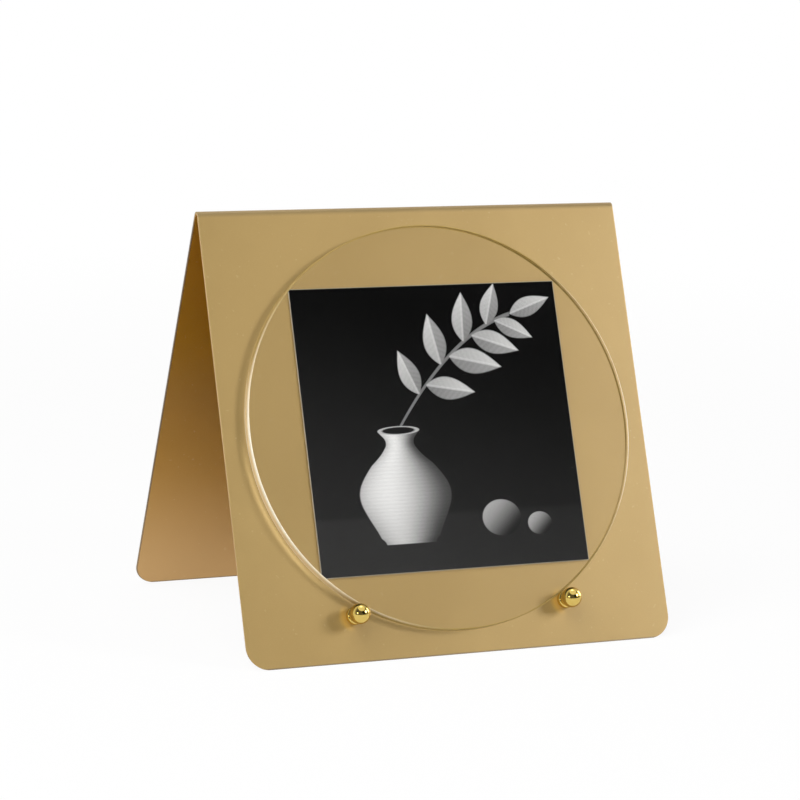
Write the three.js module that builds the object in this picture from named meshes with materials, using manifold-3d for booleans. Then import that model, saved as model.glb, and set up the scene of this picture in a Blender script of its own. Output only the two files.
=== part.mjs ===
// Square photo stand: one gold sheet folded into a tent, a square print laid on its front panel,
// and a clear round cover that leans on the print and rests on two ball studs.
// Millimetres, +Z up. The front faces -Y and +X is to the right as seen from the front.
// The origin is on the floor, under the middle of the whole stand.
import * as THREE from 'three';
import { mergeVertices } from 'three/addons/utils/BufferGeometryUtils.js';
import Module from 'manifold-3d';

const wasm = await Module();
wasm.setup();

// Print and cover
const PRINT_SIDE = 127;
const PRINT_THICKNESS = 0.3;
const COVER_MARGIN = 0.2; // from the print's corners to the cover's rim
const COVER_THICKNESS = 5;
const COVER_CHAMFER = 0.5;

// Folded sheet
const SHEET_BORDER = 10; // from the cover's rim to the sheet's edges
const SHEET_THICKNESS = 1.2;
const BEND_RADIUS = 1.2; // on the inside of the fold
const FOLD_ANGLE_DEG = 45; // between the two panels
const CORNER_RADIUS = 10;

// Ball studs
const STUD_SPACING = 100;
const SLEEVE_DIAMETER = 8;
const SLEEVE_CHAMFER = 0.4;
const SLEEVE_SHORT = 2.4; // how far the sleeve ends behind the cover's front face
const BALL_DIAMETER = 9;
const BALL_SEAT_RIM = 0.7; // flat ring around the ball's threaded hole
const BALL_FRONT_WALL = 1.7; // in front of the threaded hole

// Screws and washers behind the front panel
const SCREW_DIAMETER = 3;
const SCREW_TIP_CHAMFER = 0.4;
const HEAD_LEDGE = 1.35; // from the shank to the head's rim
const HEAD_RIM_HEIGHT = 0.5;
const SOCKET_ACROSS_FLATS = 2;
const SOCKET_DEPTH = 1;
const SOCKET_FLOOR = 0.65;
const WASHER_BORDER = 0.7; // beyond the screw head
const WASHER_THICKNESS = 0.5;
const LOCK_RING_WIDTH = 1.3;
const LOCK_RING_THICKNESS = 0.8;
const LOCK_RING_SPLIT = 0.6;

// Clearances
const SEAT_GAP = 0.3; // between pieces that rest on each other
const BORE_CLEARANCE = 0.2; // around the screws

// Fineness of round shapes
const COVER_STEPS = 96;
const STUD_STEPS = 32;
const BALL_ARC_STEPS = 14;
const HEAD_ARC_STEPS = 4;
const CORNER_STEPS = 10;
const FOLD_STEPS = 10;
const CUT_OVERSHOOT = 1; // how far a cutting shape runs past what it cuts

// Sizes that follow from the print and the cover
const coverRadius = PRINT_SIDE / Math.SQRT2 + COVER_MARGIN;
const sheetSide = 2 * (coverRadius + SHEET_BORDER);
const coverHeight = sheetSide / 2;

// Levels in front of the panel's face, along its normal
const printBack = SEAT_GAP;
const coverBack = printBack + PRINT_THICKNESS + SEAT_GAP;
const coverFront = coverBack + COVER_THICKNESS;
const sleeveBack = SEAT_GAP;
const sleeveFront = coverFront - SLEEVE_SHORT;
const ballBack = sleeveFront + SEAT_GAP;

// Ball, its flat seat and its blind threaded hole
const screwRadius = SCREW_DIAMETER / 2;
const boreRadius = screwRadius + BORE_CLEARANCE;
const ballRadius = BALL_DIAMETER / 2;
const ballSeatRadius = boreRadius + BALL_SEAT_RIM;
const ballCentre = ballBack + Math.sqrt(ballRadius ** 2 - ballSeatRadius ** 2);
const ballHoleEnd = ballCentre + ballRadius - BALL_FRONT_WALL;
const screwTip = ballHoleEnd - SEAT_GAP;

// Levels behind the panel's face
const washerFront = -SHEET_THICKNESS - SEAT_GAP;
const washerBack = washerFront - WASHER_THICKNESS;
const lockRingFront = washerBack - SEAT_GAP;
const lockRingBack = lockRingFront - LOCK_RING_THICKNESS;
const headFront = lockRingBack - SEAT_GAP;
const headRimBack = headFront - HEAD_RIM_HEIGHT;
const headBack = headFront - SOCKET_DEPTH - SOCKET_FLOOR;
const headRadius = screwRadius + HEAD_LEDGE;
const washerRadius = headRadius + WASHER_BORDER;

// The cover's rim bears on both sleeves, which sets how high the studs sit on the panel
const sleeveRadius = SLEEVE_DIAMETER / 2;
const rimToStud = coverRadius + SEAT_GAP + sleeveRadius;
const studHeight = coverHeight - Math.sqrt(rimToStud ** 2 - (STUD_SPACING / 2) ** 2);

// The fold: each panel is as long as the sheet is wide, measured flat to the middle of the fold
const lean = THREE.MathUtils.degToRad(FOLD_ANGLE_DEG) / 2;
const outerBend = BEND_RADIUS + SHEET_THICKNESS;
const halfBend = Math.PI / 2 - lean;
const straightLength = sheetSide - (BEND_RADIUS + SHEET_THICKNESS / 2) * halfBend;
const foldHeight = straightLength * Math.cos(lean) - outerBend * Math.sin(lean);
const footReach = straightLength * Math.sin(lean) + outerBend * Math.cos(lean);
const footWidth = SHEET_THICKNESS / Math.cos(lean); // the sheet's ends are cut level with the floor

// The balls may stand further forward than the front foot, so the middle moves with them
const ballReach = footReach - studHeight * Math.sin(lean) + ballCentre * Math.cos(lean) + ballRadius;
const middleShift = (Math.max(footReach, ballReach) - footReach) / 2;

const FINISHES = {
  goldPaint: { color: 0xb6975c, roughness: 0.45, metalness: 0.6 },
  clearAcrylic: { color: 0xf4efe2, roughness: 0.05, metalness: 0, transparent: true, opacity: 0.25 },
  printPaper: { color: 0x2a2a2a, roughness: 0.35, metalness: 0 },
  polishedGold: { color: 0xd9a23a, roughness: 0.12, metalness: 1 },
  platedSteel: { color: 0xb9bcc0, roughness: 0.35, metalness: 1 },
};

function piece(name, geometry, finish) {
  const mesh = new THREE.Mesh(geometry, new THREE.MeshStandardMaterial(FINISHES[finish]));
  mesh.name = name;
  return mesh;
}

// A body turned about the panel's normal, from points given as radius and level
function turned(points, steps) {
  const profile = points.map(([radius, level]) => new THREE.Vector2(radius, level));
  return new THREE.LatheGeometry(profile, steps).rotateX(Math.PI / 2);
}

// A ring has a closed profile
function turnedRing(points, steps) {
  return turned([...points, points[0]], steps);
}

function toSolid(geometry) {
  const bare = geometry.clone();
  bare.deleteAttribute('normal');
  bare.deleteAttribute('uv');
  const merged = mergeVertices(bare);
  const corners = merged.index ? merged.index.array : merged.attributes.position.array.keys();
  const triangles = [];
  for (let i = 0; i < corners.length; i += 3) {
    const [a, b, c] = corners.slice(i, i + 3);
    if (a !== b && b !== c && c !== a) triangles.push(a, b, c);
  }
  return new wasm.Manifold(new wasm.Mesh({
    numProp: 3,
    vertProperties: new Float32Array(merged.attributes.position.array),
    triVerts: new Uint32Array(triangles),
  }));
}

function toGeometry(solid) {
  const mesh = solid.getMesh();
  const geometry = new THREE.BufferGeometry();
  geometry.setAttribute('position', new THREE.BufferAttribute(mesh.vertProperties, 3));
  geometry.setIndex(new THREE.BufferAttribute(mesh.triVerts, 1));
  geometry.computeVertexNormals();
  return geometry;
}

// The front panel's own frame: x along its width, y up its slope, z out of its outer face,
// with the origin at the middle of that face's bottom edge
const frontFrame = new THREE.Matrix4()
  .makeRotationX(Math.PI / 2 - lean)
  .setPosition(0, -footReach, 0);

// Cross-section of the folded sheet, in a plane across the width
function foldedProfile() {
  const profile = new THREE.Shape();
  const innerFoot = footReach - footWidth;
  profile.moveTo(innerFoot, 0);
  profile.lineTo(footReach, 0);
  profile.absarc(0, foldHeight, outerBend, lean, Math.PI - lean, false);
  profile.lineTo(-footReach, 0);
  profile.lineTo(-innerFoot, 0);
  profile.absarc(0, foldHeight, BEND_RADIUS, Math.PI - lean, lean, true);
  profile.closePath();
  return profile;
}

// What is cut away, straight through both panels, to round their bottom corners on the +x or -x side
function cornerCutter(side) {
  const edge = sheetSide / 2;
  const arcCentre = edge - CORNER_RADIUS;
  const arcHeight = CORNER_RADIUS * Math.cos(lean); // so that the corner is round on the slope
  const waste = new THREE.Shape();
  waste.moveTo(arcCentre, -CUT_OVERSHOOT);
  waste.lineTo(edge + CUT_OVERSHOOT, -CUT_OVERSHOOT);
  waste.lineTo(edge + CUT_OVERSHOOT, arcHeight);
  waste.absellipse(arcCentre, arcHeight, CORNER_RADIUS, arcHeight, 0, -Math.PI / 2, true, 0);
  waste.closePath();
  const depth = 2 * (footReach + CUT_OVERSHOOT);
  const cutter = new THREE.ExtrudeGeometry(waste, { depth, bevelEnabled: false, curveSegments: CORNER_STEPS });
  cutter.translate(0, 0, -depth / 2).rotateX(Math.PI / 2);
  return side > 0 ? cutter : cutter.rotateZ(Math.PI);
}

function studHoleCutter(side) {
  const length = SHEET_THICKNESS + 2 * CUT_OVERSHOOT;
  const cutter = new THREE.CylinderGeometry(boreRadius, boreRadius, length, STUD_STEPS);
  cutter.rotateX(Math.PI / 2);
  return cutter.translate(side * STUD_SPACING / 2, studHeight, -SHEET_THICKNESS / 2);
}

function foldedStand() {
  const sheet = new THREE.ExtrudeGeometry(foldedProfile(), {
    depth: sheetSide, bevelEnabled: false, curveSegments: FOLD_STEPS,
  });
  sheet.translate(0, 0, -sheetSide / 2);
  sheet.rotateY(Math.PI / 2).rotateX(Math.PI / 2);
  let solid = toSolid(sheet);
  for (const side of [-1, 1]) {
    solid = solid.subtract(toSolid(cornerCutter(side)));
    solid = solid.subtract(toSolid(studHoleCutter(side).applyMatrix4(frontFrame)));
  }
  return toGeometry(solid);
}

function clearCover() {
  const rim = coverRadius - COVER_CHAMFER;
  return turned([
    [0, coverBack],
    [rim, coverBack],
    [coverRadius, coverBack + COVER_CHAMFER],
    [coverRadius, coverFront - COVER_CHAMFER],
    [rim, coverFront],
    [0, coverFront],
  ], COVER_STEPS);
}

function photoPrint() {
  const sheet = new THREE.BoxGeometry(PRINT_SIDE, PRINT_SIDE, PRINT_THICKNESS);
  return sheet.translate(0, 0, printBack + PRINT_THICKNESS / 2);
}

function spacerSleeve() {
  const faceRadius = sleeveRadius - SLEEVE_CHAMFER;
  return turnedRing([
    [boreRadius, sleeveBack],
    [faceRadius, sleeveBack],
    [sleeveRadius, sleeveBack + SLEEVE_CHAMFER],
    [sleeveRadius, sleeveFront - SLEEVE_CHAMFER],
    [faceRadius, sleeveFront],
    [boreRadius, sleeveFront],
  ], STUD_STEPS);
}

// A ball with a flat seat at the back and a blind hole for the screw
function ballNut() {
  const seatAngle = Math.asin(ballSeatRadius / ballRadius);
  const points = [[0, ballHoleEnd], [boreRadius, ballHoleEnd], [boreRadius, ballBack]];
  for (let i = 0; i < BALL_ARC_STEPS; i += 1) {
    const angle = seatAngle + (Math.PI - seatAngle) * i / BALL_ARC_STEPS;
    points.push([ballRadius * Math.sin(angle), ballCentre - ballRadius * Math.cos(angle)]);
  }
  points.push([0, ballCentre + ballRadius]);
  return turned(points, STUD_STEPS);
}

// A button-head screw with a hexagon socket, its head behind the panel
function socketScrew() {
  const domeHeight = headRimBack - headBack;
  const points = [[0, headBack]];
  for (let i = 1; i <= HEAD_ARC_STEPS; i += 1) {
    const angle = Math.PI / 2 * i / HEAD_ARC_STEPS;
    points.push([headRadius * Math.sin(angle), headRimBack - domeHeight * Math.cos(angle)]);
  }
  points.push([headRadius, headFront]);
  points.push([screwRadius, headFront]);
  points.push([screwRadius, screwTip - SCREW_TIP_CHAMFER]);
  points.push([screwRadius - SCREW_TIP_CHAMFER, screwTip]);
  points.push([0, screwTip]);
  const socketRadius = SOCKET_ACROSS_FLATS / Math.sqrt(3);
  const socketLength = SOCKET_DEPTH + CUT_OVERSHOOT;
  const socket = new THREE.CylinderGeometry(socketRadius, socketRadius, socketLength, 6);
  socket.rotateX(Math.PI / 2).translate(0, 0, headBack + SOCKET_DEPTH - socketLength / 2);
  return toGeometry(toSolid(turned(points, STUD_STEPS)).subtract(toSolid(socket)));
}

function flatWasher() {
  return turnedRing([
    [boreRadius, washerBack],
    [washerRadius, washerBack],
    [washerRadius, washerFront],
    [boreRadius, washerFront],
  ], STUD_STEPS);
}

// A spring ring, split at the top and pressed flat
function lockRing() {
  const outerRadius = boreRadius + LOCK_RING_WIDTH;
  const splitStart = (radius) => Math.PI / 2 + Math.asin(LOCK_RING_SPLIT / 2 / radius);
  const splitEnd = (radius) => 3 * Math.PI - splitStart(radius);
  const ring = new THREE.Shape();
  ring.absarc(0, 0, outerRadius, splitStart(outerRadius), splitEnd(outerRadius), false);
  ring.absarc(0, 0, boreRadius, splitEnd(boreRadius), splitStart(boreRadius), true);
  ring.closePath();
  const geometry = new THREE.ExtrudeGeometry(ring, {
    depth: LOCK_RING_THICKNESS, bevelEnabled: false, curveSegments: STUD_STEPS,
  });
  return geometry.translate(0, 0, lockRingBack);
}

function ballStud(name, side) {
  const stud = new THREE.Group();
  stud.position.set(side * STUD_SPACING / 2, studHeight, 0);
  stud.add(piece(`${name}_ball_nut`, ballNut(), 'polishedGold'));
  stud.add(piece(`${name}_spacer_sleeve`, spacerSleeve(), 'polishedGold'));
  stud.add(piece(`${name}_socket_screw`, socketScrew(), 'platedSteel'));
  stud.add(piece(`${name}_lock_ring`, lockRing(), 'platedSteel'));
  stud.add(piece(`${name}_flat_washer`, flatWasher(), 'platedSteel'));
  return stud;
}

const photoStand = new THREE.Group();
photoStand.position.y = middleShift;
photoStand.add(piece('folded_stand', foldedStand(), 'goldPaint'));

const frontPanel = new THREE.Group();
frontPanel.applyMatrix4(frontFrame);
photoStand.add(frontPanel);

const display = new THREE.Group();
display.position.y = coverHeight;
display.add(piece('photo_print', photoPrint(), 'printPaper'));
display.add(piece('clear_cover', clearCover(), 'clearAcrylic'));
frontPanel.add(display);

frontPanel.add(ballStud('left', -1));
frontPanel.add(ballStud('right', 1));

export default photoStand;
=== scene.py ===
import math

import bmesh
import bpy
import numpy as np
from mathutils import Matrix


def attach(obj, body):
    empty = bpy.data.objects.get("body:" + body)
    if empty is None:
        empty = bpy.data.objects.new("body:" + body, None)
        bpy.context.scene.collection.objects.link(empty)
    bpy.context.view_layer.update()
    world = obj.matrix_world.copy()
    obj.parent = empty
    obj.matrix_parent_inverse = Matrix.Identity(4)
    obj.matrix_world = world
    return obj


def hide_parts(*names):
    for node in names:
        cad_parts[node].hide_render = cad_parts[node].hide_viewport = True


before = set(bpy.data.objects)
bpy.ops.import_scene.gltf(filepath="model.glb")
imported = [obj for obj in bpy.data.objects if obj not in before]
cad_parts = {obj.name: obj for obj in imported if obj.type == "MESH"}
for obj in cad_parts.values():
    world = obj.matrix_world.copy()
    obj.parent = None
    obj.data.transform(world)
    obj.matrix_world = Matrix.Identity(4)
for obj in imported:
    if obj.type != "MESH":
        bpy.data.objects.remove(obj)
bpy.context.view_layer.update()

# Sizes in metres, as in the part's source
MM = 0.001
PRINT_SIDE = 127 * MM
PRINT_THICKNESS = 0.3 * MM
COVER_MARGIN = 0.2 * MM
COVER_THICKNESS = 5 * MM
SHEET_BORDER = 10 * MM
SHEET_THICKNESS = 1.2 * MM
BEND_RADIUS = 1.2 * MM
LEAN = math.radians(45) / 2
CORNER_RADIUS = 10 * MM
STUD_SPACING = 100 * MM
SLEEVE_RADIUS = 4 * MM
SLEEVE_SHORT = 2.4 * MM
BALL_RADIUS = 4.5 * MM
BALL_SEAT_RIM = 0.7 * MM
BALL_FRONT_WALL = 1.7 * MM
SCREW_RADIUS = 1.5 * MM
THREAD_PITCH = 0.5 * MM
THREAD_DEPTH = 0.27 * MM
HEAD_LEDGE = 1.35 * MM
HEAD_RIM_HEIGHT = 0.5 * MM
SOCKET_ACROSS_FLATS = 2 * MM
SOCKET_DEPTH = 1 * MM
SOCKET_FLOOR = 0.65 * MM
WASHER_BORDER = 0.7 * MM
WASHER_THICKNESS = 0.5 * MM
LOCK_RING_WIDTH = 1.3 * MM
LOCK_RING_THICKNESS = 0.8 * MM
LOCK_RING_SPLIT = 0.6 * MM
SEAT_GAP = 0.3 * MM
BORE_CLEARANCE = 0.2 * MM

# Rounded edges, which the solids have square or as a plain chamfer
SHEET_EDGE = 0.2 * MM
PRINT_EDGE = 0.06 * MM
COVER_EDGE = 0.5 * MM
SLEEVE_EDGE = 0.9 * MM
SMALL_EDGE = 0.12 * MM
FLAT_MARGIN = 0.4 * MM  # a second line beside each rounded edge, which keeps the flats flat
FLAT_RING = 0.5  # share of the radius at a ring that divides a round flat
THREAD_CRISP = 1.5  # power of the thread's wave, which makes its grooves narrower than its crests
SHARP_ANGLE = math.radians(40)  # between faces that meet at a sharp line

# Fineness of the surfaces
EDGE_STEPS = 5
CORNER_STEPS = 24
PANEL_ROWS = 6
FOLD_STEPS = 32
COVER_STEPS = 288
STUD_STEPS = 72
BALL_ARC_STEPS = 40
SCREW_STEPS = 48
DOME_STEPS = 8
STEPS_PER_PITCH = 8

# Places that follow from the sizes
cover_radius = PRINT_SIDE / math.sqrt(2) + COVER_MARGIN
sheet_side = 2 * (cover_radius + SHEET_BORDER)
cover_height = sheet_side / 2
print_back = SEAT_GAP
print_front = print_back + PRINT_THICKNESS
cover_back = print_front + SEAT_GAP
cover_front = cover_back + COVER_THICKNESS
sleeve_back = SEAT_GAP
sleeve_front = cover_front - SLEEVE_SHORT
ball_back = sleeve_front + SEAT_GAP
bore_radius = SCREW_RADIUS + BORE_CLEARANCE
ball_seat_radius = bore_radius + BALL_SEAT_RIM
ball_centre = ball_back + math.sqrt(BALL_RADIUS ** 2 - ball_seat_radius ** 2)
ball_hole_end = ball_centre + BALL_RADIUS - BALL_FRONT_WALL
screw_tip = ball_hole_end - SEAT_GAP
washer_front = -SHEET_THICKNESS - SEAT_GAP
washer_back = washer_front - WASHER_THICKNESS
lock_ring_front = washer_back - SEAT_GAP
lock_ring_back = lock_ring_front - LOCK_RING_THICKNESS
head_front = lock_ring_back - SEAT_GAP
head_rim_back = head_front - HEAD_RIM_HEIGHT
head_back = head_front - SOCKET_DEPTH - SOCKET_FLOOR
head_radius = SCREW_RADIUS + HEAD_LEDGE
washer_radius = head_radius + WASHER_BORDER
lock_ring_radius = bore_radius + LOCK_RING_WIDTH
rim_to_stud = cover_radius + SEAT_GAP + SLEEVE_RADIUS
stud_height = cover_height - math.sqrt(rim_to_stud ** 2 - (STUD_SPACING / 2) ** 2)
outer_bend = BEND_RADIUS + SHEET_THICKNESS
straight_length = sheet_side - (BEND_RADIUS + SHEET_THICKNESS / 2) * (math.pi / 2 - LEAN)
fold_height = straight_length * math.cos(LEAN) - outer_bend * math.sin(LEAN)
foot_reach = straight_length * math.sin(LEAN) + outer_bend * math.cos(LEAN)
ball_reach = foot_reach - stud_height * math.sin(LEAN) + ball_centre * math.cos(LEAN) + BALL_RADIUS
fold_y = (max(foot_reach, ball_reach) - foot_reach) / 2

# The front panel's directions: across it, up its slope, and out of its face
ACROSS = np.array([1.0, 0.0, 0.0])
UPHILL = np.array([0.0, math.sin(LEAN), math.cos(LEAN)])
OUTWARD = np.array([0.0, -math.cos(LEAN), math.sin(LEAN)])
FRONT_FOOT = np.array([0.0, fold_y - foot_reach, 0.0])


def unit(direction):
    """A direction as an array of length 1."""
    return np.array(direction) / np.linalg.norm(direction)


def on_panel(across, uphill, outward):
    """Points from their three measures on the front panel, in arrays of one shape."""
    measures = np.broadcast_arrays(across, uphill, outward)
    ways = (ACROSS, UPHILL, OUTWARD)
    return FRONT_FOOT + sum(measure[..., None] * way for measure, way in zip(measures, ways))


def quarter_turns(radius, steps):
    """A quarter circle as two arrays: how far it is in from one side, and then from the other."""
    angle = np.linspace(0, math.pi / 2, steps + 1)
    return radius * (1 - np.sin(angle)), radius * (1 - np.cos(angle))


def surface_piece(name, grid, finish, ends="flat", poles=(None, None), marks=None):
    """A closed piece from a grid of points, rows by columns, whose columns close on themselves.
    The rows end in flat faces or in poles, or close on themselves too where ends is "ring"."""
    rows, columns = grid.shape[:2]
    points = grid.reshape(-1, 3).tolist()
    index = np.arange(rows * columns).reshape(rows, columns)
    near, far = (index, np.roll(index, -1, axis=0)) if ends == "ring" else (index[:-1], index[1:])
    quads = np.stack([near, np.roll(near, -1, axis=1), np.roll(far, -1, axis=1), far], axis=-1)
    faces = quads.reshape(-1, 4).tolist()
    if ends == "flat":
        for row, pole in zip((index[0][::-1], index[-1]), poles):
            if pole is None:
                faces.append(row.tolist())
            else:
                tip = np.full(columns, len(points))
                faces.extend(np.stack([row, np.roll(row, -1), tip], axis=-1).tolist())
                points.append(list(pole))
    mesh = bpy.data.meshes.new(name)
    mesh.from_pydata(points, [], faces)
    shape = bmesh.new()
    shape.from_mesh(mesh)
    bmesh.ops.recalc_face_normals(shape, faces=shape.faces)
    shape.to_mesh(mesh)
    shape.free()
    for mark, values in (marks or {}).items():
        filled = np.zeros(len(points), np.float32)
        filled[:rows * columns] = values.reshape(-1)
        mesh.attributes.new(mark, "FLOAT", "POINT").data.foreach_set("value", filled)
    mesh.shade_smooth()
    mesh.set_sharp_from_angle(angle=SHARP_ANGLE)
    mesh.materials.append(finish)
    piece = bpy.data.objects.new(name, mesh)
    bpy.context.scene.collection.objects.link(piece)
    return piece


def edge_loop(thickness, edge, margin):
    """A rounded rectangle as three arrays: which side a point is on, how far it is in from that side,
    and how deep it is below the front face. Each corner is a quarter circle of the edge's radius."""
    from_side, from_face = quarter_turns(edge, EDGE_STEPS)
    inset = np.concatenate([[edge + margin], from_side, from_side[::-1], [edge + margin]])
    depth = np.concatenate([[0], from_face, thickness - from_face[::-1], [thickness]])
    side = np.ones(len(inset))
    return np.concatenate([side, -side]), np.tile(inset, 2), np.concatenate([depth, depth[::-1]])


def folded_sheet(finish):
    """The bent sheet: a rounded rectangle across the sheet is carried up the front panel, round the fold
    and down the back panel. Near the feet its half width follows the corner's circle, and the points at
    every depth end level on the floor. The back panel mirrors the front one."""
    side, inset, depth = edge_loop(SHEET_THICKNESS, SHEET_EDGE, FLAT_MARGIN)
    turn = np.linspace(0, math.pi / 2, CORNER_STEPS + 1)[2:]
    corner_rise = CORNER_RADIUS * (1 - np.cos(turn))
    panel_rise = np.linspace(2 * CORNER_RADIUS, straight_length - FLAT_MARGIN, PANEL_ROWS)
    rise = np.concatenate([[0, SHEET_EDGE], corner_rise, panel_rise, [straight_length]])
    in_corner = np.clip(CORNER_RADIUS - rise, 0, None)
    half = sheet_side / 2 - CORNER_RADIUS + np.sqrt(CORNER_RADIUS ** 2 - in_corner ** 2)
    taper = np.where(rise == 0, SHEET_EDGE, 0)[:, None]
    across = side * (half[:, None] - inset - taper)
    deep = np.clip(depth, taper, SHEET_THICKNESS - taper)
    slope = rise[:, None] * (1 - deep * math.tan(LEAN) / straight_length)
    front = on_panel(across, slope, 0 * slope)
    front[..., 1] += deep / math.cos(LEAN)
    back = front[::-1].copy()
    back[..., 1] = 2 * fold_y - back[..., 1]
    angle = np.linspace(LEAN, math.pi - LEAN, FOLD_STEPS + 1)[1:-1, None]
    reach = outer_bend - depth
    across = side * (sheet_side / 2 - inset) + 0 * angle
    fold = np.stack([across, fold_y - reach * np.cos(angle), fold_height + reach * np.sin(angle)], axis=-1)
    grid = np.concatenate([front, fold, back])
    edge = np.tile((inset <= SHEET_EDGE).astype(float), (len(grid), 1))
    edge[[0, -1]] = 1
    inside = np.tile((depth >= SHEET_THICKNESS - SHEET_EDGE).astype(float), (len(grid), 1))
    return surface_piece("folded_sheet", grid, finish, marks={"edge": edge, "inside": inside})


def print_sheet(finish):
    """The print: a thin rounded rectangle carried up the slope, with its two ends rounded too."""
    side, inset, depth = edge_loop(PRINT_THICKNESS, PRINT_EDGE, FLAT_MARGIN)
    half = PRINT_SIDE / 2
    shrink = np.array([PRINT_EDGE, 0, 0, 0, 0, PRINT_EDGE])[:, None]
    rise = np.array([-half, -half + PRINT_EDGE, -half / 2, half / 2, half - PRINT_EDGE, half])[:, None]
    across = side * (half - inset - shrink)
    deep = np.clip(depth, shrink, PRINT_THICKNESS - shrink)
    grid = on_panel(across, cover_height + rise + 0 * across, print_front - deep)
    return surface_piece("print_sheet", grid, finish)


def turned_piece(name, profile, finish, across, uphill, steps, ends="flat", poles=(None, None)):
    """A piece turned about the panel's normal: a profile of radius and level carried round a circle."""
    radius, level = np.array(profile).T[:, :, None]
    angle = np.linspace(0, 2 * math.pi, steps, endpoint=False)
    grid = on_panel(across + radius * np.cos(angle), uphill + radius * np.sin(angle), level + 0 * angle)
    tips = [None if pole is None else on_panel(across, uphill, pole) for pole in poles]
    return surface_piece(name, grid, finish, ends=ends, poles=tips)


def rounded_profile(inner, outer, low, high, edge):
    """The section of a ring as points of radius and level: a rectangle whose outer corners are rounded,
    with a second point beside each rounded corner."""
    from_side, from_face = quarter_turns(edge, EDGE_STEPS)
    top = np.stack([outer - from_side, high - from_face], axis=-1)
    bottom = np.stack([outer - from_side, low + from_face], axis=-1)[::-1]
    inside = outer - edge - min(FLAT_MARGIN, (outer - inner - edge) / 2)
    return [(inner, high), (inside, high), *top.tolist(), *bottom.tolist(), (inside, low), (inner, low)]


def clear_cover(face, rim):
    """The round cover: flat faces, a straight rim and rounded edges, turned about its middle.
    The rim and its rounded edges have their own finish."""
    ring = FLAT_RING * cover_radius
    profile = rounded_profile(ring, cover_radius, cover_back, cover_front, COVER_EDGE)
    poles = (cover_front, cover_back)
    piece = turned_piece("round_cover", profile, face, 0, cover_height, COVER_STEPS, poles=poles)
    piece.data.materials.append(rim)
    middles = np.empty(3 * len(piece.data.polygons))
    piece.data.polygons.foreach_get("center", middles)
    from_centre = middles.reshape(-1, 3) - on_panel(0, cover_height, 0)
    reach = np.linalg.norm(from_centre - np.outer(from_centre @ OUTWARD, OUTWARD), axis=1)
    on_rim = (reach > cover_radius - COVER_EDGE).astype(np.int32)
    piece.data.polygons.foreach_set("material_index", on_rim)
    return piece


def ball_nut(name, across, finish):
    """A ball with a flat seat and a blind hole: the hole's wall, the seat and then the ball's circle."""
    start = math.asin(ball_seat_radius / BALL_RADIUS)
    angle = np.linspace(start, math.pi, BALL_ARC_STEPS + 1)[:-1]
    circle = np.stack([BALL_RADIUS * np.sin(angle), ball_centre - BALL_RADIUS * np.cos(angle)], axis=-1)
    hole = [(bore_radius, ball_hole_end), (bore_radius, ball_back)]
    poles = (ball_hole_end, ball_centre + BALL_RADIUS)
    return turned_piece(name, hole + circle.tolist(), finish, across, stud_height, STUD_STEPS, poles=poles)


def socket_screw(name, across, finish):
    """A button-head screw on one grid of angle and row. The shank's radius falls and rises as a rounded
    wave of the level, less a share of the angle, which makes the thread's helix. The socket's radius
    follows a hexagon's flats, and the head is a quarter ellipse."""
    angle = np.linspace(0, 2 * math.pi, SCREW_STEPS, endpoint=False)
    level = np.arange(screw_tip - THREAD_PITCH, head_front, -THREAD_PITCH / STEPS_PER_PITCH)[:, None]
    phase = level / THREAD_PITCH - angle / (2 * math.pi)
    shank = SCREW_RADIUS - THREAD_DEPTH * (0.5 + 0.5 * np.cos(2 * math.pi * phase)) ** THREAD_CRISP
    tip = np.full((1, SCREW_STEPS), SCREW_RADIUS - 2 * THREAD_DEPTH)
    bend = np.linspace(0, math.pi / 2, DOME_STEPS + 1)[:, None]
    socket_corner = SOCKET_ACROSS_FLATS / math.sqrt(3)
    mouth = SOCKET_ACROSS_FLATS / 2 / np.cos((angle % (math.pi / 3)) - math.pi / 6)[None, :]
    dome = socket_corner + (head_radius - socket_corner) * np.cos(bend)
    dome_level = head_rim_back - (head_rim_back - head_back) * np.sin(bend)
    rim = np.full((1, SCREW_STEPS), head_radius)
    radius = np.concatenate([tip, shank, rim, dome + 0 * angle, mouth, mouth, mouth * FLAT_RING])
    socket_end = head_back + SOCKET_DEPTH
    levels = np.concatenate([
        [[screw_tip]], level, [[head_front]], dome_level, [[head_back], [socket_end], [socket_end]],
    ]) + 0 * angle
    grid = on_panel(across + radius * np.cos(angle), stud_height + radius * np.sin(angle), levels)
    poles = [on_panel(across, stud_height, pole) for pole in (screw_tip, socket_end)]
    return surface_piece(name, grid, finish, poles=poles)


def lock_ring(name, across, finish):
    """A split spring ring: a rounded rectangle carried round a circle from one side of the split to
    the other."""
    side, inset, depth = edge_loop(LOCK_RING_THICKNESS, SMALL_EDGE, SMALL_EDGE)
    middle = (bore_radius + lock_ring_radius) / 2
    half_split = math.asin(LOCK_RING_SPLIT / 2 / middle)
    angle = math.pi / 2 + np.linspace(half_split, 2 * math.pi - half_split, STUD_STEPS + 1)[:, None]
    radius = middle + side * (LOCK_RING_WIDTH / 2 - inset)
    level = lock_ring_front - depth + 0 * angle
    grid = on_panel(across + radius * np.cos(angle), stud_height + radius * np.sin(angle), level)
    return surface_piece(name, grid, finish)


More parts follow.
